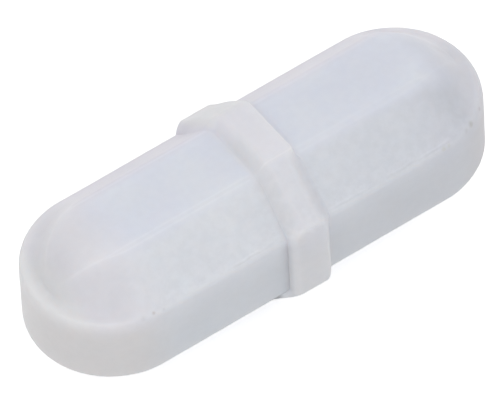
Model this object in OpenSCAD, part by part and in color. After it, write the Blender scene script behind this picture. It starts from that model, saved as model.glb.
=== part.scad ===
// Magnetic stir bar: an octagonal jacket of white fluoropolymer, moulded in one piece with a
// raised pivot ring round its middle and a faceted dome at each end, over a sealed rod magnet.
// The bar lies along X and stands on the lower flat of its ring, at Z = 0. The ring is midway
// along, at X = 0, and the bar's own axis is in the plane Y = 0.

/* [Bar] */
// Length from tip to tip
bar_length = 25.4; // [20:0.1:40]
// Width of the body across opposite flats
body_width = 8.6; // [7:0.1:11]
// Width of the top, bottom and side flats
flat_width = 3.8; // [2.8:0.05:4.4]
// How far each way the edges beside the top and bottom flats are rounded
edge_rounding = 0.28; // [0.05:0.01:0.5]
// How far the rounding of the rim reaches onto the slopes and ledges
rim_rounding = 0.15; // [0.05:0.01:0.4]
// How far the rounding of the rim reaches onto the upright wall
rim_fall = 0.3; // [0.1:0.02:0.8]

/* [Domed ends] */
// Width of the ledge round the foot of each dome
ledge_width = 0.8; // [0.3:0.02:1.1]
// How far each way the corner between ledge and dome is filled
ledge_fill = 0.22; // [0.05:0.01:0.4]
// Turn of the end, in degrees, over which the ledge grows out of the straight slope
ledge_growth = 36; // [10:1:45]
// How far short of the ledge the top flat stops at the tip
tip_gap = 0.08; // [0.04:0.01:0.4]
// Fullness of the dome seen from the side, where 2 is round and more is squarer
dome_fullness = 3.3; // [2:0.1:6]
// Fullness of each end of the top flat seen from above, where 1 is straight and 2 is round
taper_fullness = 1.85; // [1.2:0.05:2.4]

/* [Pivot ring] */
// Height of the ring above the flats of the body
ring_height = 0.45; // [0.3:0.05:1]
// Width of the flat crest of the ring
ring_crest = 1.35; // [0.8:0.05:3]
// Radius of the crest's two shoulders
shoulder_radius = 0.75; // [0.3:0.05:1]
// Radius of the fillet at the foot of the ring
fillet_radius = 0.1; // [0.05:0.01:0.5]

/* [Magnet] */
// Jacket left between the magnet and the side flats
side_wall = 1.3; // [0.8:0.05:1.8]
// Jacket left between the magnet and each tip
tip_wall = 2.7; // [2:0.05:4]
// Chamfer round each end of the magnet
magnet_chamfer = 0.35; // [0.1:0.05:0.8]
// Gap left all round the magnet, where the jacket was moulded over it
magnet_gap = 0.02; // [0.01:0.01:0.1]

/* [Hidden] */

// Body
half_width = body_width / 2;
half_flat = flat_width / 2;
dome_height = half_width - half_flat;
dome_start = bar_length / 2 - half_width;
dome_foot = half_width - ledge_width;
flat_end = dome_foot - tip_gap;

// Ring
axis_height = half_width + ring_height;
ring_turn = acos(max(0, 1 - ring_height / (shoulder_radius + fillet_radius)));
shoulder_end = ring_crest / 2 + shoulder_radius * sin(ring_turn);
ring_foot = shoulder_end + fillet_radius * sin(ring_turn);

// Magnet
magnet_radius = half_width - side_wall;
magnet_half = bar_length / 2 - tip_wall;

// Most of a face that the rounding of one of its corners may use up
corner_share = 0.45;

// Fineness of the moulded skin
flat_steps = 6;
corner_steps = 3;
rim_steps = 5;
end_steps = 32;
shoulder_steps = 5;
fillet_steps = 2;
magnet_fn = 96;

// Point at a share of the way from a towards b, no further than a given distance.
function towards(a, b, distance) =
    a + (b - a) * min(corner_share, distance / norm(b - a));

// Curve from start to finish that rounds off the corner between them, as a row of points.
function bend(start, corner, finish, steps) =
    [for (i = [0:steps])
        let (t = i / steps)
        start * (1 - t) * (1 - t) + corner * 2 * t * (1 - t) + finish * t * t];

// The ends are drawn as ribs about an upright line at dome_start. A rib's angle is 0 at the
// tip and 90 across the bar, where it is also the section of the straight part.

// Distance along a rib to the edge of the top flat, which narrows all the way to the tip.
function crease_reach(angle) =
    pow(
        pow(abs(cos(angle)) / flat_end, taper_fullness)
        + pow(abs(sin(angle)) / half_flat, taper_fullness),
        -1 / taper_fullness
    );

// Height of the top flat above the axis, at a distance beyond dome_start.
function flat_height(beyond) =
    half_flat + dome_height * (1 - pow(beyond / dome_foot, dome_fullness));

// Share of the ledge that has grown at an angle: 0 on the straight part, 1 round the end.
function ledge_share(angle) =
    let (t = min(1, (90 - abs(angle)) / ledge_growth))
    t * t * (3 - 2 * t);

// Upper half of a rib, from the middle of the top flat to the middle of the side wall.
function upper_rib(angle) =
    let (turn = abs(cos(angle)))
    let (reach = crease_reach(angle))
    let (inner = reach - min(edge_rounding, corner_share * reach))
    let (flat = [for (i = [0:flat_steps])
        let (r = inner * i / flat_steps)
        [r, flat_height(r * turn)]])
    let (edge = [reach, flat_height(reach * turn)])
    let (foot = [dome_foot, half_flat + ledge_width * (1 - ledge_share(angle))])
    let (rim = [half_width, half_flat])
    let (wall = [half_width, 0])
    let (edge_end = towards(edge, foot, edge_rounding))
    let (fill_start = towards(foot, edge, ledge_fill))
    let (fill_end = towards(foot, rim, ledge_fill))
    let (rim_start = towards(rim, foot, rim_rounding))
    let (rim_end = towards(rim, wall, rim_fall))
    concat(
        [for (i = [0:flat_steps - 1]) flat[i]],
        bend(flat[flat_steps], edge, edge_end, corner_steps),
        bend(fill_start, foot, fill_end, corner_steps),
        bend(rim_start, rim, rim_end, rim_steps),
        [wall]
    );

// Whole rib, down to the middle of the bottom flat. The lower half mirrors the upper.
function rib(angle) =
    let (upper = upper_rib(angle))
    let (wall = len(upper) - 1)
    concat(upper, [for (i = [wall - 1:-1:0]) [upper[i][0], -upper[i][1]]]);

// Sections along the straight part, as [distance along the bar, scale of the section].
ring_side = concat(
    [for (i = [0:shoulder_steps])
        let (turn = ring_turn * i / shoulder_steps)
        [
            ring_crest / 2 + shoulder_radius * sin(turn),
            axis_height - shoulder_radius * (1 - cos(turn))
        ]],
    [for (i = [fillet_steps - 1:-1:0])
        let (turn = ring_turn * i / fillet_steps)
        [
            ring_foot - fillet_radius * sin(turn),
            half_width + fillet_radius * (1 - cos(turn))
        ]]
);
half_stations = concat(ring_side, [[dome_start, half_width]]);
half_count = len(half_stations);
stations = concat(
    [for (i = [half_count - 1:-1:0]) [-half_stations[i][0], half_stations[i][1] / half_width]],
    [for (i = [0:half_count - 1]) [half_stations[i][0], half_stations[i][1] / half_width]]
);

straight_rib = rib(90);
rib_last = len(straight_rib) - 1;
loop_size = 2 * rib_last;
station_last = len(stations) - 1;
straight_size = len(stations) * loop_size;
end_size = (end_steps - 1) * (rib_last - 1);
rib_total = 2 * station_last + 2 * end_steps;

// Closed section at one station: down its +Y side and up its -Y side.
function station_loop(station) = [
    for (i = [0:loop_size - 1])
        let (p = i <= rib_last ? straight_rib[i] : straight_rib[loop_size - i])
        let (side = i <= rib_last ? 1 : -1)
        [station[0], side * p[0] * station[1], p[1] * station[1]]
];

// Ribs of one end, less the two middle points that they share. side is 1 at +X and -1 at -X.
function end_ribs(side) = [
    for (k = [1:end_steps - 1])
        let (angle = 90 - 180 * k / end_steps)
        let (points = rib(angle))
        for (i = [1:rib_last - 1]) [
            side * (dome_start + points[i][0] * cos(angle)),
            side * points[i][0] * sin(angle),
            points[i][1]
        ]
];

// Number of a point in the list of all points. Ribs run round the plan: along the +Y side,
// round the +X end, back along the -Y side and round the -X end.
function plus_point(station, i) = station * loop_size + i;
function minus_point(station, i) = station * loop_size + (i == 0 ? 0 : loop_size - i);
function end_point(side, k, i) =
    i == 0 || i == rib_last
    ? plus_point(side > 0 ? station_last : 0, i)
    : straight_size + (side > 0 ? 0 : end_size) + (k - 1) * (rib_last - 1) + i - 1;
function skin_point(n, i) =
    let (r = n % rib_total)
    let (back = r - station_last - end_steps)
    r <= station_last ? plus_point(r, i)
    : back < 0 ? end_point(1, r - station_last, i)
    : back <= station_last ? minus_point(station_last - back, i)
    : end_point(-1, back - station_last, i);

// Outside of the jacket, as a skin over all the ribs.
module jacket_skin() {
    points = concat(
        [for (station = stations) each station_loop(station)],
        end_ribs(1),
        end_ribs(-1)
    );
    faces = [
        for (n = [0:rib_total - 1], i = [0:rib_last - 1])
            let (a = skin_point(n, i))
            let (b = skin_point(n, i + 1))
            let (c = skin_point(n + 1, i + 1))
            let (d = skin_point(n + 1, i))
            each (a == d ? [[a, b, c]] : b == c ? [[a, b, d]] : [[a, b, c], [a, c, d]])
    ];
    polyhedron(points, faces);
}

// Rod with chamfered ends, grown by a gap all round.
module magnet_rod(gap) {
    radius = magnet_radius + gap;
    half = magnet_half + gap;
    rotate([0, 90, 0]) rotate_extrude($fn = magnet_fn) polygon([
        [0, -half],
        [radius - magnet_chamfer, -half],
        [radius, magnet_chamfer - half],
        [radius, half - magnet_chamfer],
        [radius - magnet_chamfer, half],
        [0, half]
    ]);
}

module jacket() {
    color([0.93, 0.94, 0.96]) translate([0, 0, axis_height]) difference() {
        jacket_skin();
        magnet_rod(magnet_gap);
    }
}

module magnet_core() {
    color([0.36, 0.36, 0.38]) translate([0, 0, axis_height]) magnet_rod(0);
}

jacket();
magnet_core();
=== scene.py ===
import math

import bmesh
import bpy
from mathutils import Matrix, Vector, noise


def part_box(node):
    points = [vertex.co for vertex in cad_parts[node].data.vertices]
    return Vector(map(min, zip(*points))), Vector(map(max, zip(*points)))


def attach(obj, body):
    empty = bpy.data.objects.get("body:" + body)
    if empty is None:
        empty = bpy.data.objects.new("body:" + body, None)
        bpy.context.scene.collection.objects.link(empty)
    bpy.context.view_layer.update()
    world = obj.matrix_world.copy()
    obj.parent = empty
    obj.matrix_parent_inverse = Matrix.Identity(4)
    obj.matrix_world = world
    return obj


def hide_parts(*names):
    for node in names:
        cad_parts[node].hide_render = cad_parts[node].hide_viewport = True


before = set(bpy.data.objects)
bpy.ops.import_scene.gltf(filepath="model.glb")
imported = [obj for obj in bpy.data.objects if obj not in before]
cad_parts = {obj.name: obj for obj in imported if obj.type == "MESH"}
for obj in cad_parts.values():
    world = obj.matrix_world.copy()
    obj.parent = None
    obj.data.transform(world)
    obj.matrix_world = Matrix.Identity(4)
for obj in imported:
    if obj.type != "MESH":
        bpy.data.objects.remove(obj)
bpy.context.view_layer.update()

mm = 0.001
jacketLow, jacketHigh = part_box("jacket")
axisHeight = (jacketLow.z + jacketHigh.z) / 2     # the bar's own axis, half way up the ring
print("frame loaded, nodes:", ", ".join(sorted(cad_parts)))


jacketShape = {                 # all in mm
    "barLength": (jacketHigh.x - jacketLow.x) / mm,
    "ringWidth": (jacketHigh.y - jacketLow.y) / mm,
    "ringHeight": 0.45,         # ring above the flats of the body
    "ringCrest": 1.35,
    "shoulderRadius": 0.75,
    "filletRadius": 0.1,
    "flatWidth": 3.8,
    "frontFlat": 1.65,          # half the top and bottom flats as moulded, a little to the back
    "backFlat": 2.07,
    "edgeRounding": 0.28,       # long edges beside the top and bottom flats
    "endRounding": {"left": 0.3, "right": 0.9},        # the same round each dome
    "rimRounding": 0.15,        # how far the rim's rounding reaches onto slopes and ledges
    "rimFall": 0.3,             # and onto the upright wall
    "endRimRounding": 0.34,     # the same two round the front of the ends, where the rim is softer
    "endRimFall": 0.85,
    "endFullness": 0.005,       # share by which the ends are squarer than half round, seen from above
    "ledgeWidth": 0.8,
    "ledgeFill": 0.36,          # how far the corner between ledge and dome is filled along the ledge
    "footFill": 0.75,           # and up the dome
    "valleyFill": {"left": 0.07, "right": 0.22},       # how high the foot of each dome is filled up
    "valleyReach": 0.42,        # how far to each side of the foot
    "ledgeGrowth": 36,          # degrees of turn over which the ledge grows out of the slope
    "tipGap": 0.08,             # how far short of the ledge the top flat stops at the tip
    "domeFullness": {"left": 3.8, "right": 2.6},       # 2 is round, more is squarer, seen from the side
    "taperFullness": {"left": 1.85, "right": 1.5},     # 1 is straight, 2 is round, seen from above
}
skinSteps = {                   # how finely each stretch of the skin is divided
    "flat": 16,
    "corner": 6,
    "slope": 16,
    "fill": 6,
    "ledge": 5,
    "rim": 10,
    "wall": 8,
    "end": 96,
    "ringSide": 16,
    "crest": 12,
    "straight": 40,
}
cornerShare = 0.45              # most of a face that the rounding of one of its corners may use up

halfWidth = jacketShape["ringWidth"] / 2 - jacketShape["ringHeight"]
halfFlat = jacketShape["flatWidth"] / 2
domeStart = jacketShape["barLength"] / 2 - halfWidth
domeFoot = halfWidth - jacketShape["ledgeWidth"]
flatEnd = domeFoot - jacketShape["tipGap"]


def between(a, b, share):
    return a + (b - a) * share


def smooth(share):
    return share * share * (3 - 2 * share)


def spread(steps, ends="both"):
    # shares of the way, closer together at both ends, or at the far end only
    if ends == "both":
        return [(1 - math.cos(math.pi * i / steps)) / 2 for i in range(steps + 1)]
    return [math.sin(math.pi / 2 * i / steps) for i in range(steps + 1)]


def towards(a, b, distance):
    return a.lerp(b, min(cornerShare, distance / (b - a).length))


def bend(start, corner, finish, steps):
    points = []
    for i in range(steps + 1):
        t = i / steps
        points.append(start * (1 - t) ** 2 + corner * 2 * t * (1 - t) + finish * t ** 2)
    return points


def linePoints(a, b, steps):
    return [a.lerp(b, t) for t in spread(steps)[1:-1]]


# The skin is drawn as ribs about an upright line at each dome's start. A rib's angle is 0 at the
# tip and a quarter turn across the bar, and its points are (out, up) from the bar's axis, in mm.

def creaseReach(angle, side, end):
    # distance along a rib to the edge of the top flat, which narrows all the way to the tip
    power = jacketShape["taperFullness"][end]
    along = abs(math.cos(angle)) / flatEnd
    across = abs(math.sin(angle)) / jacketShape["backFlat" if side > 0 else "frontFlat"]
    return (along ** power + across ** power) ** (-1 / power)


def flatHeight(beyond, end):
    fall = (beyond / domeFoot) ** jacketShape["domeFullness"][end]
    return halfFlat + (halfWidth - halfFlat) * (1 - fall)


def ledgeShare(angle):
    # 0 on the straight part, 1 round the end
    return smooth(min(1, max(0, 90 - abs(math.degrees(angle))) / jacketShape["ledgeGrowth"]))


def upperPoints(flat, edge, foot, rim, wall, rounding):
    # from the middle of the top flat to the middle of the side wall
    atEdge = bend(flat[-1], edge, towards(edge, foot, rounding["edgeRounding"]), skinSteps["corner"])
    atFoot = bend(towards(foot, edge, jacketShape["footFill"]), foot,
                  towards(foot, rim, jacketShape["ledgeFill"]), skinSteps["fill"])
    atRim = bend(towards(rim, foot, rounding["rimRounding"]), rim,
                 towards(rim, wall, rounding["rimFall"]), skinSteps["rim"])
    points = flat[:-1] + atEdge
    points += linePoints(atEdge[-1], atFoot[0], skinSteps["slope"]) + atFoot
    points += linePoints(atFoot[-1], atRim[0], skinSteps["ledge"]) + atRim
    points += linePoints(atRim[-1], wall, skinSteps["wall"]) + [wall]
    return points


def mirrored(upper):
    return [Vector((p.x, -p.y)) for p in reversed(upper[:-1])]


def valleyRise(p, share, end):
    # how much the foot of the dome is raised, where the middle of the side wall stays as it is
    if p.y <= 0:
        return 0
    away = (p.x - domeFoot) / jacketShape["valleyReach"]
    return share * jacketShape["valleyFill"][end] * math.exp(-away ** 2)


def fullRib(angle, side, end):
    # side is 1 at the back, +Y, and -1 at the front
    share = ledgeShare(angle)
    reach = creaseReach(angle, side, end)
    edgeRounding = between(jacketShape["edgeRounding"], jacketShape["endRounding"][end], share)
    inner = reach - min(edgeRounding, cornerShare * reach)
    turn = abs(math.cos(angle))
    flat = [Vector((inner * t, flatHeight(inner * t * turn, end))) for t in spread(skinSteps["flat"], "far")]
    edge = Vector((reach, flatHeight(reach * turn, end)))
    foot = Vector((domeFoot, halfFlat + jacketShape["ledgeWidth"] * (1 - share)))
    rim = Vector((halfWidth, halfFlat))
    wall = Vector((halfWidth, 0))
    halves = []
    for softness in (share * (1 - side) / 2, 0):       # upper rim, softer at the front, then lower rim
        rounding = {
            "edgeRounding": edgeRounding,
            "rimRounding": between(jacketShape["rimRounding"], jacketShape["endRimRounding"], softness),
            "rimFall": between(jacketShape["rimFall"], jacketShape["endRimFall"], softness),
        }
        half = upperPoints(flat, edge, foot, rim, wall, rounding)
        halves.append([Vector((p.x, p.y + valleyRise(p, share, end))) for p in half])
    return halves[0] + mirrored(halves[1])


ringShape = {                   # where the ring stands, in mm along the bar, all round it
    # name: (left foot, left of crest, right of crest, right foot, softness of left and right sides)
    # softness is -1 for a steep side, 0 for a round one and 1 for a soft one
    "top": (-1.0, -0.2, 1.25, 1.32, 1, 0),
    "frontSlopeTop": (-0.92, -0.05, 0.72, 1.6, 0.6, 1),
    "frontSlopeLow": (-1.0, 0.02, 0.62, 1.6, 0.5, 1),
    "frontWall": (-0.99, -0.55, 0.95, 1.4, -1, 0),
    "frontLow": (-2.0, -0.1, 0.95, 1.42, 0.65, 0.1),
    "backSlope": (-1.45, -0.5, 1.05, 1.4, 0.8, 0.5),
    "backRim": (-1.45, -0.8, 0.75, 1.35, 0.3, 0.5),
    # degrees from the middle of the top, then the name, where "even" is a ring with no wear
    "front": [(0, "top"), (20, "top"), (29, "frontSlopeTop"), (60, "frontSlopeLow"), (70, "frontWall"),
              (112, "frontWall"), (119, "frontLow"), (150, "even"), (180, "even")],
    "back": [(0, "top"), (20, "top"), (29, "backSlope"), (42, "backSlope"), (60, "backRim"),
             (85, "backRim"), (110, "even"), (180, "even")],
    "frontFlat": 1.75,          # half the top's width in front, narrower than at the back
    "frontRim": 2.35,
    "edgeRounding": 0.16,
    "rimRounding": 0.12,
    "rimFall": 0.6,
    "sideTurn": 62,             # degrees through which a round side curves
    "steepTurn": 25,            # and more where the side is steep
}


def ringHalf(flatReach, rimHeight):
    # upper half of the ring's crest on one side
    out = jacketShape["ringWidth"] / 2
    inner = flatReach - ringShape["edgeRounding"]
    flat = [Vector((inner * t, out)) for t in spread(skinSteps["flat"], "far")]
    edge = Vector((flatReach, out))
    rim = Vector((out, rimHeight))
    foot = edge.lerp(rim, (domeFoot - halfFlat) / (halfWidth - halfFlat))     # on the slope, with no ledge
    return upperPoints(flat, edge, foot, rim, Vector((out, 0)), ringShape)


def ringRib(side):
    grown = halfFlat * jacketShape["ringWidth"] / 2 / halfWidth
    even = ringHalf(grown, grown)
    if side > 0:
        return even + mirrored(even)
    return ringHalf(ringShape["frontFlat"], ringShape["frontRim"]) + mirrored(even)


def evenRing():
    radii = jacketShape["shoulderRadius"] + jacketShape["filletRadius"]
    turn = math.acos(1 - jacketShape["ringHeight"] / radii)
    crest = jacketShape["ringCrest"] / 2
    foot = crest + radii * math.sin(turn)
    return (-foot, -crest, crest, foot, 0, 0)


def wornRing(turn, side):
    # feet, crest and softness at so many degrees from the middle of the top
    places = ringShape["back" if side > 0 else "front"]
    for before, after in zip(places, places[1:]):
        if turn <= after[0]:
            break
    share = smooth((turn - before[0]) / (after[0] - before[0]))
    first, last = (ringShape.get(name) or evenRing() for name in (before[1], after[1]))
    return [between(a, b, share) for a, b in zip(first, last)]


def ringRise(t, softness):
    # height up the side of the ring, from 0 at its foot to 1 at its crest
    turn = math.radians(ringShape["sideTurn"] - ringShape["steepTurn"] * min(0, softness))
    arc = math.asin((1 - t) * math.sin(turn))
    rounded = 1 - (1 - math.cos(arc)) / (1 - math.cos(turn))
    return between(rounded, smooth(t), max(0, softness))


flashLine = {                   # thin line where the mould's punch met its die, in mm
    "above": 0.3,               # how far up the slope from the rim
    "height": 0.022,
    "width": 0.045,
    "grooveBelow": 0.11,
    "grooveDepth": 0.016,
    "grooveWidth": 0.05,
    "fade": 1.2,                # beyond the straight part
    "lowest": 1.52,             # no part of it is nearer to the axis, up or down
    "inwards": 1.0,             # or further in from the side wall
    "wear": 0.65,               # usual share of the height left, and how much that changes along the bar
    "wearChange": 0.6,
    "wearRate": 1.3,
}
waves = {                       # moulded skin is never quite flat, in mm
    "size": 3.2,
    "height": 0.010,
    "fineSize": 0.9,
    "fineHeight": 0.0025,
    "fineShift": (7, 3, 5),
}


def withFlash(p, x):
    # raised hair line and the shallow groove under it, fading where the ledges begin
    beyond = (abs(x) - domeStart) / flashLine["fade"]
    if beyond > 1 or abs(p.y) < flashLine["lowest"] or p.x < halfWidth - flashLine["inwards"]:
        return p
    upSlope = ((halfWidth - p.x) + (abs(p.y) - halfFlat)) / math.sqrt(2)
    change = noise.noise(Vector((x * flashLine["wearRate"], 0, p.y)))
    wear = flashLine["wear"] + flashLine["wearChange"] * change
    ridge = flashLine["height"] * wear * math.exp(-((upSlope - flashLine["above"]) / flashLine["width"]) ** 2)
    low = flashLine["above"] - flashLine["grooveBelow"]
    groove = flashLine["grooveDepth"] * math.exp(-((upSlope - low) / flashLine["grooveWidth"]) ** 2)
    lift = (ridge - groove) * (1 - max(0, beyond)) / math.sqrt(2)
    return Vector((p.x + lift, p.y + math.copysign(lift, p.y)))


def outwards(p):
    # rough outward direction, from the bar's core line
    core = max(-domeStart, min(domeStart, p.x))
    return Vector((p.x - core, p.y, p.z)).normalized()


def waveOffset(p):
    big = noise.noise(p / waves["size"]) * waves["height"]
    fine = noise.noise(p / waves["fineSize"] + Vector(waves["fineShift"])) * waves["fineHeight"]
    return outwards(p) * (big + fine)


def stationList():
    # (part of the bar, share of the way along it)
    steps = (("straightLeft", skinSteps["straight"]), ("leftSide", skinSteps["ringSide"]),
             ("crest", skinSteps["crest"]), ("rightSide", skinSteps["ringSide"]),
             ("straightRight", skinSteps["straight"]))
    stations = [("straightLeft", 0)]
    for part, count in steps:
        stations += [(part, t) for t in spread(count)[1:]]
    return stations


def stationPoint(part, t, worn):
    # (place along the bar, share of the ring's height)
    leftFoot, leftCrest, rightCrest, rightFoot, softLeft, softRight = worn
    if part == "straightLeft":
        return between(-domeStart, leftFoot, t), 0
    if part == "leftSide":
        return between(leftFoot, leftCrest, t), ringRise(t, softLeft)
    if part == "crest":
        return between(leftCrest, rightCrest, t), 1
    if part == "rightSide":
        return between(rightCrest, rightFoot, t), ringRise(1 - t, softRight)
    return between(rightFoot, domeStart, t), 0


def straightRibs(side):
    body = fullRib(math.pi / 2, side, "left")          # the right end's would be the same here
    ring = ringRib(side)
    worn = [wornRing(math.degrees(math.atan2(p.x, p.y)), side) for p in body]
    ribs = []
    for part, t in stationList():
        rib = []
        for j, p in enumerate(body):
            x, rise = stationPoint(part, t, worn[j])
            q = withFlash(p, x).lerp(ring[j], rise)
            rib.append(Vector((x, side * q.x, q.y)))
        ribs.append(rib)
    return ribs


def endRibs(side):
    # side is 1 for the right end, +X, and -1 for the left
    ribs = []
    for k in range(1, skinSteps["end"]):
        angle = math.pi / 2 - math.pi * k / skinSteps["end"]
        full = 1 + jacketShape["endFullness"] * math.sin(2 * angle) ** 2
        rib = []
        for p in fullRib(angle, side * math.sin(angle), "right" if side > 0 else "left"):
            q = withFlash(p, domeStart + p.x * math.cos(angle))
            out = q.x * full
            along = domeStart + out * math.cos(angle)
            rib.append(Vector((side * along, side * out * math.sin(angle), q.y)))
        ribs.append(rib)
    return ribs


def skinRibs():
    # ribs in order round the plan: +Y side, +X end, -Y side, -X end
    return straightRibs(1) + endRibs(1) + straightRibs(-1)[::-1] + endRibs(-1)


def addObject(name, data):
    item = bpy.data.objects.new(name, data)
    bpy.context.scene.collection.objects.link(item)
    return item


weldDistance = 2e-7             # m, points closer than this are one
shortestEdge = 1e-8


def makeJacket():
    ribs = skinRibs()
    size = len(ribs[0])
    places = []
    for rib in ribs:
        for p in rib:
            q = p + waveOffset(p)
            places.append((q.x * mm, q.y * mm, q.z * mm + axisHeight))
    faces = []
    for n in range(len(ribs)):
        a = n * size
        b = (n + 1) % len(ribs) * size
        for i in range(size - 1):
            faces.append((a + i, a + i + 1, b + i + 1, b + i))
    mesh = bpy.data.meshes.new("jacketSkin")
    mesh.from_pydata(places, [], faces)
    work = bmesh.new()
    work.from_mesh(mesh)
    bmesh.ops.remove_doubles(work, verts=work.verts, dist=weldDistance)
    bmesh.ops.dissolve_degenerate(work, edges=work.edges, dist=shortestEdge)
    bmesh.ops.recalc_face_normals(work, faces=work.faces)
    for face in work.faces:
        face.smooth = True
    work.to_mesh(mesh)
    work.free()
    return addObject("mouldedJacket", mesh)


def emptyTree(owner):
    owner.use_nodes = True
    owner.node_tree.nodes.clear()
    return owner.node_tree


def newMaterial(name):
    # with an empty tree, which each finish fills
    material = bpy.data.materials.new(name)
    return material, emptyTree(material)


def addNode(tree, kind, inputs=None, **settings):
    # each input is a value to set, or the output of another node to link
    node = tree.nodes.new("ShaderNode" + kind)
    for key, value in settings.items():
        setattr(node, key, value)
    for key, value in (inputs or {}).items():
        if isinstance(value, bpy.types.NodeSocket):
            tree.links.new(value, node.inputs[key])
        else:
            node.inputs[key].default_value = value
    return node


def mixColors(tree, factor, first, second, blend="MIX"):
    # a Mix node has a set of sockets for each kind of value, and 6 and 7 are the two colours
    sockets = {0: factor, 6: first, 7: second}
    return addNode(tree, "Mix", sockets, data_type="RGBA", blend_type=blend).outputs[2]


def mixValues(tree, factor, first, second):
    return addNode(tree, "Mix", {0: factor, 2: first, 3: second}, data_type="FLOAT").outputs[0]


def calculate(tree, operation, *values):
    return addNode(tree, "Math", dict(enumerate(values)), operation=operation).outputs[0]


def product(tree, first, *others):
    for other in others:
        first = calculate(tree, "MULTIPLY", first, other)
    return first


def apart(tree, first, second):
    return calculate(tree, "ABSOLUTE", calculate(tree, "SUBTRACT", first, second))


def noiseAt(tree, place, scale, detail=2.0, roughness=0.5):
    # scale is per metre
    inputs = {"Vector": place, "Scale": scale, "Detail": detail, "Roughness": roughness}
    return addNode(tree, "TexNoise", inputs).outputs["Fac"]


def rampFrom(tree, value, low, high, outLow=0.0, outHigh=1.0):
    inputs = {"Value": value, "From Min": low, "From Max": high, "To Min": outLow, "To Max": outHigh}
    return addNode(tree, "MapRange", inputs, interpolation_type="SMOOTHSTEP").outputs["Result"]


def fadeFrom(tree, value, low, high, strength=1.0):
    # full strength up to low, nothing beyond high
    return rampFrom(tree, value, low, high, strength, 0.0)


ptfeLook = {                    # painted light and shade: each face and end gets its own lit or shaded copy of the white; the middle over the magnet is also faintly bluish where it shows through the skin, the ends warmer
    "top": (0.802, 0.830, 0.930, 1),
    "leftBack": (0.764, 0.750, 0.826, 1),
    "rightBack": (0.795, 0.784, 0.856, 1),
    "leftSlope": (0.829, 0.852, 0.904, 1),
    "rightSlope": (0.791, 0.816, 0.870, 1),
    "slopeEnd": (0.735, 0.755, 0.812, 1),
    "leftWall": (0.775, 0.803, 0.846, 1),
    "rightWall": (0.737, 0.758, 0.800, 1),
    "leftDome": (0.818, 0.813, 0.856, 1),
    "leftTip": (0.842, 0.842, 0.860, 1),
    "rightDome": (0.705, 0.722, 0.780, 1),
    "rightDomeBack": (0.838, 0.826, 0.880, 1),
    "rightTip": (0.790, 0.796, 0.852, 1),
    "leftEndWall": (0.798, 0.788, 0.793, 1),
    "rightEndWall": (0.674, 0.663, 0.690, 1),
    "ring": (0.848, 0.847, 0.905, 1),
    "ringSlope": (0.822, 0.832, 0.882, 1),
    "ringFlank": (0.806, 0.812, 0.848, 1),             # painted shade on the ring's left flank
    "ringWall": (0.813, 0.818, 0.845, 1),
    # where the tints meet, all in mm from the middle of the bar and its axis
    "leftToRight": (-6, 8),
    "backEdge": (1.5, 2.3),
    "frontEdge": (-2.3, -1.5),
    "wallTop": (-0.4, 2.0),
    "slopeEndAt": (6.3, 9.0),
    "toLeftTip": (-11.8, -11.0),
    "toRightTip": (9.8, 11.4),
    "domeBack": (0.4, 1.8),
    "endWallTop": (0.8, 2.1),
    "magnetMiddle": 0.9,
    "endOfMagnet": (8.0, 11.0),
    "ringMiddle": 0.2,
    "ringEdge": (1.0, 1.6),
    "flankEdge": (-0.5, 0.0),
    "flankBack": (0.0, 1.0),
    # clouds in the moulding and fine scuffs, stronger near the rims of the front slopes; scales per metre
    "noiseRange": (0.3, 0.7),
    "cloudScale": 210,
    "cloudDepth": 0.018,
    "mottleScale": 2300,
    "mottleDetail": 4.0,
    "mottleRoughness": 0.6,
    "mottleDepth": 0.010,
    "slopeMottle": 0.020,
    "rimMottle": 0.032,
    "rimHeights": (2.1, 2.9),
    "scuffFoot": (1.9, 2.05),
    # painted highlights, partly also wear: thin light lines along both sides of the top's long edges
    "creaseShine": (0.035, 0.018),      # left and right
    "creaseShineAt": (-2.0, 4.0),
    "creaseWidth": 0.09,                # about twice its share of the way out to the edge, as the gap is
    "creaseGap": 0.12,
    "creaseJoin": (0.0, 0.4),           # shares of the way from the straight part to the tip
    "creaseFade": (0.75, 1.0),
    "creaseHeights": (0.0, 1.0),
    "sideChange": (-0.1, 0.1),          # mm, where left turns into right, and front into back
    "offRing": (0.0, 0.5),              # shares of the ring's tint where the lines stop
    # hair line above the rim, painted highlight where it stands up and painted shade in its groove
    "partingHeight": 2.12,
    "partingDrop": 0.085,
    "partingWidth": 0.055,
    "partingWave": (-0.04, 0.04),
    "partingWaveScale": 900,
    "partingShine": 0.05,
    "partingGrooveShade": 0.055,
    "partingWear": (0.42, 0.6),
    "partingWearScale": 420,
    "partingWearDetail": 3.0,
    "partingEnd": (8.4, 9.6),
    "partingOut": (3.7, 3.9),
    # painted highlights: thin light lines on the ring's sharp right edge and front edge
    "edgeHighlightAt": 1.26,
    "edgeHighlightWidth": 0.07,
    "edgeHighlightShine": 0.14,
    "frontHighlightAcross": -1.72,
    "frontShine": 0.05,
    "edgeHighlightHeight": (4.3, 4.6),
    # painted shade in the corner between the front wall and the ring's left side, and a darker painted shadow
    # at its foot
    "cornerShadeAlong": (-1.6, -1.05),
    "cornerShadeEnd": (-0.95, -0.85),
    "paintedShadeAcross": (-4.0, -3.7),
    "cornerShadeTop": (1.3, 1.8),
    "cornerShadeDepth": 0.06,
    "footAlong": (-2.15, -1.9),
    "footEnd": (-1.65, -1.3),
    "footTop": (-1.95, -1.75),
    "footDepth": 0.45,
    "roughness": 0.42,
    "ior": 1.38,
    "depth": 1.0,               # how much light goes in and out again
    "depthRadius": (1.0, 0.9, 0.85),    # red, green and blue
    "depthScale": 0.0010,       # m
}
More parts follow.
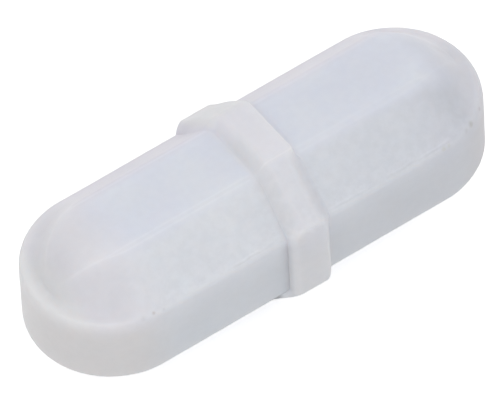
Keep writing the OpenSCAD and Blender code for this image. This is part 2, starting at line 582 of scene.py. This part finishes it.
# specks of dirt by the parting line: place from the floor under the bar's middle and radius, both in mm,
# colour and strength
marks = [
    {"at": (-8.69, -4.14, 6.74), "radius": 0.10, "color": (0.40, 0.31, 0.25, 1), "strength": 0.38},
    {"at": (-9.25, -4.10, 6.70), "radius": 0.14, "color": (0.50, 0.49, 0.50, 1), "strength": 0.18},
    {"at": (-8.15, -4.20, 6.70), "radius": 0.09, "color": (0.42, 0.38, 0.42, 1), "strength": 0.18},
    {"at": (10.30, -3.75, 6.62), "radius": 0.17, "color": (0.34, 0.34, 0.26, 1), "strength": 0.36},
    {"at": (9.85, -3.95, 6.62), "radius": 0.13, "color": (0.40, 0.38, 0.42, 1), "strength": 0.20},
    {"at": (11.25, -3.18, 6.52), "radius": 0.12, "color": (0.38, 0.32, 0.34, 1), "strength": 0.32},
    {"at": (8.30, -4.22, 6.66), "radius": 0.13, "color": (0.55, 0.54, 0.38, 1), "strength": 0.26},
    {"at": (8.60, -4.20, 6.66), "radius": 0.11, "color": (0.55, 0.54, 0.38, 1), "strength": 0.22},
]
markSpread = 1.5                # radii over which a speck fades out


def skinPlace(tree):
    # a point's place in mm from the middle of the bar's axis, and how far it is into each part, from 0 to 1
    look = ptfeLook
    place = addNode(tree, "TexCoord").outputs["Object"]
    inMm = addNode(tree, "VectorMath", {0: place, "Scale": 1 / mm}, operation="SCALE").outputs["Vector"]
    parts = addNode(tree, "SeparateXYZ", {"Vector": inMm})
    x, y = parts.outputs["X"], parts.outputs["Y"]
    z = calculate(tree, "SUBTRACT", parts.outputs["Z"], axisHeight / mm)
    return {
        "place": place,         # in metres, from the floor
        "x": x,
        "y": y,
        "z": z,
        "toRight": rampFrom(tree, x, *look["leftToRight"]),
        "toBack": rampFrom(tree, y, *look["backEdge"]),
        "toFront": fadeFrom(tree, y, *look["frontEdge"]),
        "toWall": fadeFrom(tree, z, *look["wallTop"]),
        "overMagnet": fadeFrom(tree, apart(tree, x, look["magnetMiddle"]), *look["endOfMagnet"]),
        "onRing": fadeFrom(tree, apart(tree, x, look["ringMiddle"]), *look["ringEdge"]),
    }


# painted light and shade: top, back slope, front slope and wall each get a lit or shaded copy of the white,
# changing from left to right
def straightTintAndShade(tree, at):
    look = ptfeLook
    back = mixColors(tree, at["toRight"], look["leftBack"], look["rightBack"])
    slope = mixColors(tree, at["toRight"], look["leftSlope"], look["rightSlope"])
    slope = mixColors(tree, rampFrom(tree, at["x"], *look["slopeEndAt"]), slope, look["slopeEnd"])
    wall = mixColors(tree, at["toRight"], look["leftWall"], look["rightWall"])
    color = mixColors(tree, at["toBack"], look["top"], back)
    color = mixColors(tree, at["toFront"], color, slope)
    return mixColors(tree, at["toWall"], color, wall)


# painted light and shade on the domes and end walls, darker at the right end except at its back
def endTintAndShade(tree, at):
    look = ptfeLook
    left = mixColors(tree, rampFrom(tree, at["x"], *look["toLeftTip"]), look["leftTip"], look["leftDome"])
    right = mixColors(tree, rampFrom(tree, at["x"], *look["toRightTip"]), look["rightDome"], look["rightTip"])
    right = mixColors(tree, rampFrom(tree, at["y"], *look["domeBack"]), right, look["rightDomeBack"])
    domes = mixColors(tree, at["toRight"], left, right)
    walls = mixColors(tree, at["toRight"], look["leftEndWall"], look["rightEndWall"])
    return mixColors(tree, fadeFrom(tree, at["z"], *look["endWallTop"]), domes, walls)


# painted light and shade on the ring's faces, with painted shade on its left flank
def ringTintAndShade(tree, at):
    look = ptfeLook
    left = fadeFrom(tree, at["x"], *look["flankEdge"])
    flankInShade = product(tree, left, fadeFrom(tree, at["y"], *look["flankBack"]))
    color = mixColors(tree, at["toFront"], look["ring"], look["ringSlope"])
    color = mixColors(tree, flankInShade, color, look["ringFlank"])
    return mixColors(tree, calculate(tree, "MAXIMUM", at["toWall"], at["toBack"]), color, look["ringWall"])


def clouds(tree, at):
    look = ptfeLook
    cloud = noiseAt(tree, at["place"], look["cloudScale"])
    return rampFrom(tree, cloud, *look["noiseRange"], 1 - look["cloudDepth"], 1 + look["cloudDepth"])


def scuffs(tree, at):
    look = ptfeLook
    mottle = noiseAt(tree, at["place"], look["mottleScale"], look["mottleDetail"], look["mottleRoughness"])
    mottle = rampFrom(tree, mottle, *look["noiseRange"], -1.0, 1.0)
    depth = rampFrom(tree, at["z"], *look["rimHeights"], look["rimMottle"], look["slopeMottle"])
    depth = mixValues(tree, rampFrom(tree, at["z"], *look["scuffFoot"]), look["mottleDepth"], depth)
    for share in (at["overMagnet"], at["toFront"]):
        depth = mixValues(tree, share, look["mottleDepth"], depth)
    return calculate(tree, "ADD", product(tree, mottle, depth), 1.0)


# painted highlight along the top's long edges, partly also wear
def creaseShine(tree, at):
    # the long edge's outline seen from above is the one of creaseReach
    look = ptfeLook
    beyond = calculate(tree, "SUBTRACT", calculate(tree, "ABSOLUTE", at["x"]), domeStart)
    along = calculate(tree, "DIVIDE", calculate(tree, "MAXIMUM", beyond, 0.0), flatEnd)
    flat = rampFrom(tree, at["y"], *look["sideChange"], jacketShape["frontFlat"], jacketShape["backFlat"])
    across = calculate(tree, "DIVIDE", calculate(tree, "ABSOLUTE", at["y"]), flat)
    fullness = jacketShape["taperFullness"]
    power = rampFrom(tree, at["x"], *look["sideChange"], fullness["left"], fullness["right"])
    powers = [calculate(tree, "POWER", share, power) for share in (along, across)]
    away = apart(tree, calculate(tree, "ADD", *powers), 1.0)
    away = apart(tree, away, fadeFrom(tree, along, *look["creaseJoin"], look["creaseGap"]))
    line = product(
        tree,
        rampFrom(tree, at["x"], *look["creaseShineAt"], *look["creaseShine"]),
        fadeFrom(tree, away, 0.0, look["creaseWidth"]),
        rampFrom(tree, at["z"], *look["creaseHeights"]),
        fadeFrom(tree, along, *look["creaseFade"]),
        fadeFrom(tree, at["onRing"], *look["offRing"]),
    )
    return calculate(tree, "ADD", line, 1.0)


# painted highlight lines along the ring's right edge and front edge
def ringEdgeHighlight(tree, at):
    look = ptfeLook
    away = apart(tree, at["x"], look["edgeHighlightAt"])
    right = fadeFrom(tree, away, 0.0, look["edgeHighlightWidth"], look["edgeHighlightShine"])
    away = apart(tree, at["y"], look["frontHighlightAcross"])
    front = fadeFrom(tree, away, 0.0, look["edgeHighlightWidth"], look["frontShine"])
    line = calculate(tree, "MAXIMUM", right, product(tree, at["onRing"], front))
    return calculate(tree, "ADD", product(tree, line, rampFrom(tree, at["z"], *look["edgeHighlightHeight"])), 1.0)


# painted highlight on the hair line and painted shade in the groove under it
def partingLine(tree, at):
    look = ptfeLook
    wave = noiseAt(tree, at["place"], look["partingWaveScale"])
    wave = rampFrom(tree, wave, *look["noiseRange"], *look["partingWave"])
    level = calculate(tree, "ADD", calculate(tree, "SUBTRACT", at["z"], look["partingHeight"]), wave)
    away = calculate(tree, "ABSOLUTE", level)
    light = fadeFrom(tree, away, 0.0, look["partingWidth"], look["partingShine"])
    away = apart(tree, level, -look["partingDrop"])
    dark = fadeFrom(tree, away, 0.0, look["partingWidth"], look["partingGrooveShade"])
    worn = noiseAt(tree, at["place"], look["partingWearScale"], look["partingWearDetail"])
    line = product(
        tree,
        calculate(tree, "SUBTRACT", light, dark),
        rampFrom(tree, worn, *look["partingWear"]),
        fadeFrom(tree, calculate(tree, "ABSOLUTE", at["x"]), *look["partingEnd"]),
        fadeFrom(tree, at["onRing"], *look["offRing"]),
        rampFrom(tree, calculate(tree, "ABSOLUTE", at["y"]), *look["partingOut"]),
    )
    return calculate(tree, "ADD", line, 1.0)


# painted shade in the corner by the ring's left side and painted shadow at its foot
def cornerShade(tree, at):
    look = ptfeLook
    depths = []
    for start, end, top, depth in (("cornerShadeAlong", "cornerShadeEnd", "cornerShadeTop", "cornerShadeDepth"),
                                   ("footAlong", "footEnd", "footTop", "footDepth")):
        depths.append(product(
            tree,
            rampFrom(tree, at["x"], *look[start], 0.0, look[depth]),
            fadeFrom(tree, at["x"], *look[end]),
            fadeFrom(tree, at["y"], *look["paintedShadeAcross"]),
            fadeFrom(tree, at["z"], *look[top]),
        ))
    return calculate(tree, "SUBTRACT", 1.0, calculate(tree, "MAXIMUM", *depths))


def withMarks(tree, at, color):
    for mark in marks:
        middle = [c * mm for c in mark["at"]]
        away = addNode(tree, "VectorMath", {0: at["place"], 1: middle}, operation="DISTANCE").outputs["Value"]
        share = fadeFrom(tree, away, 0.0, mark["radius"] * mm * markSpread, mark["strength"])
        color = mixColors(tree, share, color, mark["color"])
    return color


def makePtfe():
    look = ptfeLook
    material, tree = newMaterial("whiteFluoropolymer")
    at = skinPlace(tree)
    color = mixColors(tree, at["overMagnet"], endTintAndShade(tree, at), straightTintAndShade(tree, at))
    color = mixColors(tree, at["onRing"], color, ringTintAndShade(tree, at))
    # clouds and scuffs are the skin's own; the crease, ring edge, corner and parting lines are painted
    # highlight and shade
    effects = (clouds, scuffs, creaseShine, ringEdgeHighlight, cornerShade, partingLine)
    shade = product(tree, *(effect(tree, at) for effect in effects))
    gray = addNode(tree, "CombineColor", {"Red": shade, "Green": shade, "Blue": shade}).outputs["Color"]
    color = mixColors(tree, 1.0, color, gray, "MULTIPLY")
    shader = addNode(tree, "BsdfPrincipled", {
        "Base Color": withMarks(tree, at, color),
        "Roughness": look["roughness"],
        "IOR": look["ior"],
        "Subsurface Weight": look["depth"],
        "Subsurface Radius": look["depthRadius"],
        "Subsurface Scale": look["depthScale"],
    })
    addNode(tree, "OutputMaterial", {"Surface": shader.outputs["BSDF"]})
    return material


magnetLook = {
    "gray": (0.20, 0.20, 0.205, 1),
    "darkGray": (0.11, 0.11, 0.115, 1),
    "grainScale": 1800,         # per metre
    "grainDetail": 6.0,
    "grainRoughness": 0.65,
    "grainStrength": 0.3,
    "grainHeight": 0.00003,     # m
    "metallic": 1.0,
    "roughness": 0.45,
}


def makeMagnetAlloy():
    look = magnetLook
    material, tree = newMaterial("castMagnetAlloy")
    place = addNode(tree, "TexCoord").outputs["Object"]
    grain = noiseAt(tree, place, look["grainScale"], look["grainDetail"], look["grainRoughness"])
    bump = addNode(tree, "Bump", {
        "Height": grain,
        "Strength": look["grainStrength"],
        "Distance": look["grainHeight"],
    })
    shader = addNode(tree, "BsdfPrincipled", {
        "Base Color": mixColors(tree, grain, look["gray"], look["darkGray"]),
        "Metallic": look["metallic"],
        "Roughness": look["roughness"],
        "Normal": bump.outputs["Normal"],
    })
    addNode(tree, "OutputMaterial", {"Surface": shader.outputs["BSDF"]})
    return material


studio = {
    "floorSize": 1.6,
    "floorWhite": (0.86, 0.86, 0.87, 1),
    "floorLift": 0.6,           # the camera sees the floor this much whiter than it is
    "ambient": (0.56, 0.56, 0.56, 1),
    "backdrop": (1, 1, 1, 1),   # what the camera sees past the floor
    "lamps": [                  # azimuth 0 is in front of the bar's side, distances and sizes in m
        {"name": "rightLamp", "azimuth": 34, "elevation": 55, "distance": 0.5, "size": 0.35, "watts": 0.29},
        {"name": "backLamp", "azimuth": 154, "elevation": 22, "distance": 0.5, "size": 0.35, "watts": 0.32},
        {"name": "leftLamp", "azimuth": -60, "elevation": 55, "distance": 0.1, "size": 0.06, "watts": 0.015},
    ],
}


def seenDirectly(tree):
    # 1 where the camera or a reflection sees it, 0 where it only lights the bar
    rays = addNode(tree, "LightPath")
    seen = calculate(tree, "MAXIMUM", rays.outputs["Is Camera Ray"], rays.outputs["Is Glossy Ray"])
    return calculate(tree, "MAXIMUM", seen, rays.outputs["Is Transmission Ray"])


def makeFloor():
    half = studio["floorSize"] / 2
    mesh = bpy.data.meshes.new("floorSheet")
    corners = [(-half, -half, 0), (half, -half, 0), (half, half, 0), (-half, half, 0)]
    mesh.from_pydata(corners, [], [(0, 1, 2, 3)])
    floor = addObject("floor", mesh)
    material, tree = newMaterial("paperFloor")
    paper = addNode(tree, "BsdfDiffuse", {"Color": studio["floorWhite"]})
    glow = addNode(tree, "Emission", {"Strength": product(tree, seenDirectly(tree), studio["floorLift"])})
    both = addNode(tree, "AddShader", {0: paper.outputs["BSDF"], 1: glow.outputs["Emission"]})
    addNode(tree, "OutputMaterial", {"Surface": both.outputs["Shader"]})
    mesh.materials.append(material)


def makeBackdrop():
    world = bpy.data.worlds.new("whiteStudio")
    bpy.context.scene.world = world
    tree = emptyTree(world)
    color = mixColors(tree, seenDirectly(tree), studio["ambient"], studio["backdrop"])
    backdrop = addNode(tree, "Background", {"Color": color})
    addNode(tree, "OutputWorld", {"Surface": backdrop.outputs["Background"]})


def makeLamps():
    for lamp in studio["lamps"]:
        data = bpy.data.lights.new(lamp["name"], "AREA")
        data.size = lamp["size"]
        data.energy = lamp["watts"]
        turn = math.radians(lamp["azimuth"])
        rise = math.radians(lamp["elevation"])
        away = Vector((math.sin(turn) * math.cos(rise), -math.cos(turn) * math.cos(rise), math.sin(rise)))
        light = addObject(lamp["name"], data)
        light.location = away * lamp["distance"]
        light.rotation_euler = away.to_track_quat("Z", "Y").to_euler()


view = {
    "azimuth": 32.93,           # degrees the bar is turned away from the picture plane
    "elevation": 50.54,
    "roll": 3.29,
    "distance": 0.6127,
    "barWidths": 2.7939,        # half body widths across half the picture
    "sensor": 36.0,
    "centreRight": 0.0364,      # where the bar's centre shows, in half body widths
    "centreUp": -0.0077,
    "nearest": 0.01,            # m, the camera sees from here
    "furthest": 10,             # to here
}


def makeCamera():
    turn, rise, roll = (math.radians(view[key]) for key in ("azimuth", "elevation", "roll"))
    right = Vector((math.cos(turn), -math.sin(turn), 0))
    up = Vector((math.sin(turn) * math.sin(rise), math.cos(turn) * math.sin(rise), math.cos(rise)))
    back = right.cross(up)
    rolledRight = right * math.cos(roll) - up * math.sin(roll)
    rolledUp = right * math.sin(roll) + up * math.cos(roll)
    radius = halfWidth * mm
    middle = Vector((0, 0, axisHeight))
    middle -= (rolledRight * view["centreRight"] + rolledUp * view["centreUp"]) * radius
    data = bpy.data.cameras.new("camera")
    data.sensor_width = view["sensor"]
    data.lens = view["sensor"] * view["distance"] / (2 * view["barWidths"] * radius)
    data.clip_start = view["nearest"]
    data.clip_end = view["furthest"]
    placed = Matrix((rolledRight, rolledUp, back)).transposed().to_4x4()
    placed.translation = middle + back * view["distance"]
    camera = addObject("camera", data)
    camera.matrix_world = placed
    bpy.context.scene.camera = camera


makeCamera()
makeBackdrop()
makeLamps()
makeFloor()
print("studio ready")

jacket = makeJacket()
jacket.data.materials.append(makePtfe())
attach(jacket, "root")
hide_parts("jacket")
print("jacket:", len(jacket.data.polygons), "faces")

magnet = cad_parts["magnet_core"]
magnet.data.materials.clear()
magnet.data.materials.append(makeMagnetAlloy())
print("magnet finished")

bpy.context.scene.view_settings.view_transform = "Standard"
